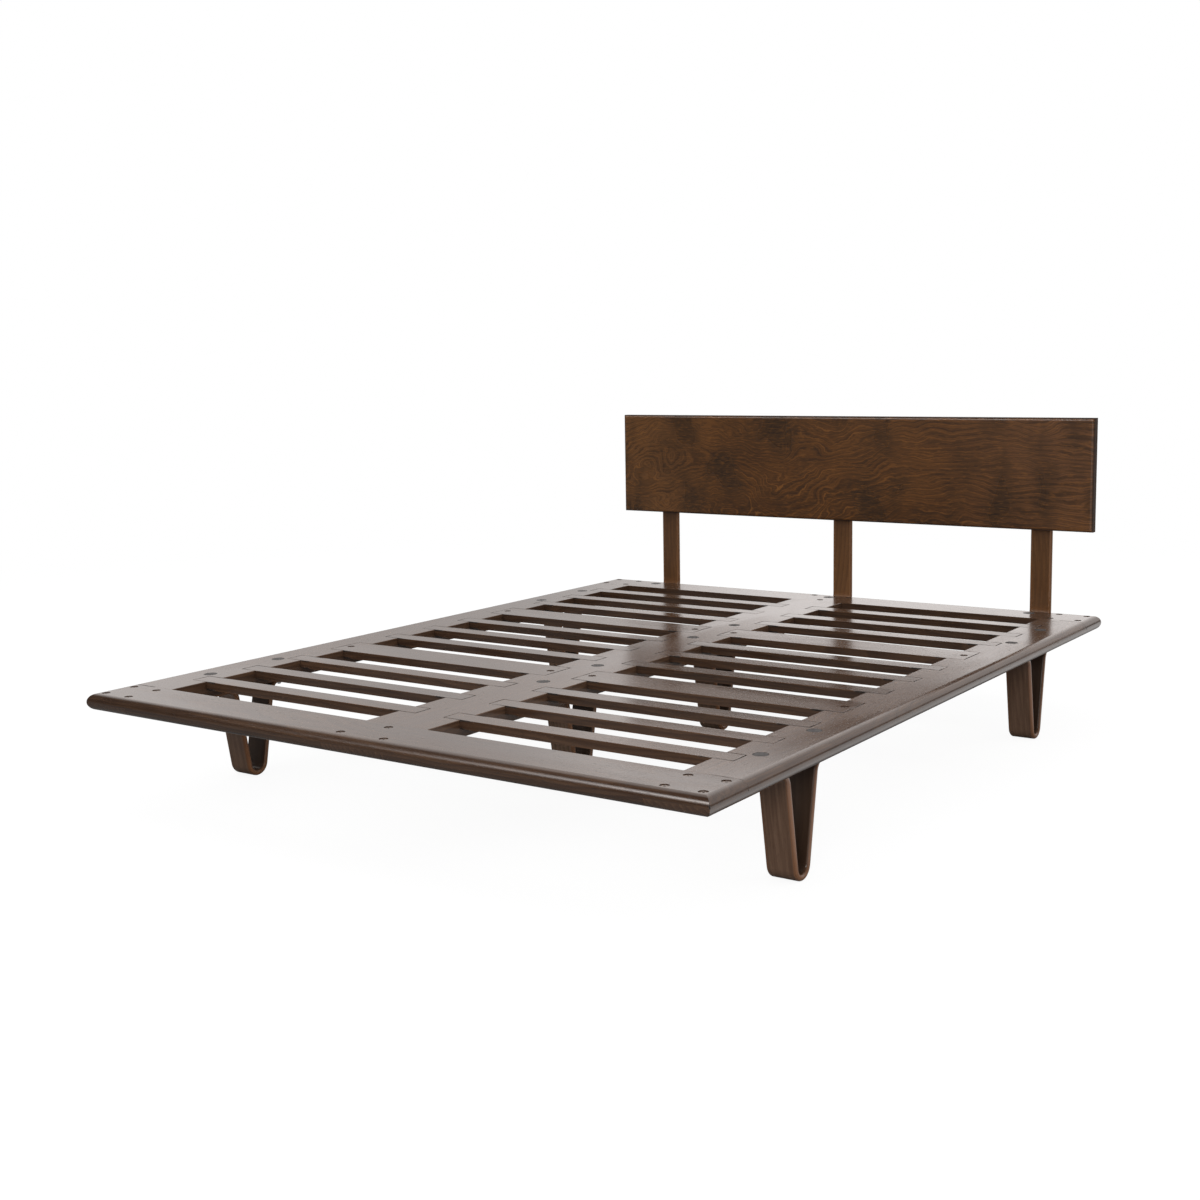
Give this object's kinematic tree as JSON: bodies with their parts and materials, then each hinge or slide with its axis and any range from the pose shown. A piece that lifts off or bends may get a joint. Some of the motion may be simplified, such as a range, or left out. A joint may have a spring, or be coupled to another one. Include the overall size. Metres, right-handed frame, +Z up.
{
  "type": "bed frame",
  "caption": "Low platform bed with a round-edged slatted deck on V-shaped bentwood legs and a panel headboard on bent straps.",
  "frame": {"origin": "on the floor under the middle of the bed's bounding box", "axes": "+Z up, +Y from the foot to the head, +X to the right seen from the foot"},
  "size_m": [1.638, 2.206, 0.821],
  "materials": {
    "deck_wood": "satin lacquer over a brown stain",
    "strap_wood": "satin lacquer over a brown stain",
    "panel_wood": "satin lacquer over a figured veneer",
    "bronze_bolts": "satin bronze",
    "insert_brass": "turned",
    "zinc_steel": "zinc plated",
    "plug_plastic": "matte"
  },
  "bodies": {
    "root": {"foot_rail": "deck_wood", "head_rail": "deck_wood", "side_rail_left": "deck_wood", "side_rail_right": "deck_wood", "centre_rail": "deck_wood", "slat_left_1": "deck_wood", "slat_left_2": "deck_wood", "slat_left_3": "deck_wood", "slat_left_4": "deck_wood", "slat_left_5": "deck_wood", "slat_left_6": "deck_wood", "slat_left_7": "deck_wood", "slat_left_8": "deck_wood", "slat_left_9": "deck_wood", "slat_left_10": "deck_wood", "slat_left_11": "deck_wood", "slat_right_1": "deck_wood", "slat_right_2": "deck_wood", "slat_right_3": "deck_wood", "slat_right_4": "deck_wood", "slat_right_5": "deck_wood", "slat_right_6": "deck_wood", "slat_right_7": "deck_wood", "slat_right_8": "deck_wood", "slat_right_9": "deck_wood", "slat_right_10": "deck_wood", "slat_right_11": "deck_wood", "leg_foot_left": "strap_wood", "leg_foot_right": "strap_wood", "leg_head_left": "strap_wood", "leg_head_right": "strap_wood", "leg_centre_foot": "strap_wood", "leg_centre_head": "strap_wood", "post_left": "strap_wood", "post_centre": "strap_wood", "post_right": "strap_wood", "headboard": "panel_wood", "rail_joint_bolts": "bronze_bolts", "rail_joint_inserts": "insert_brass", "slat_bolts": "bronze_bolts", "slat_inserts": "insert_brass", "strap_bolts": "zinc_steel", "strap_plugs": "plug_plastic", "strap_washers": "zinc_steel", "strap_nuts": "zinc_steel", "panel_bolts": "zinc_steel", "panel_washers": "zinc_steel", "panel_inserts": "insert_brass"}
  },
  "joints": []
}
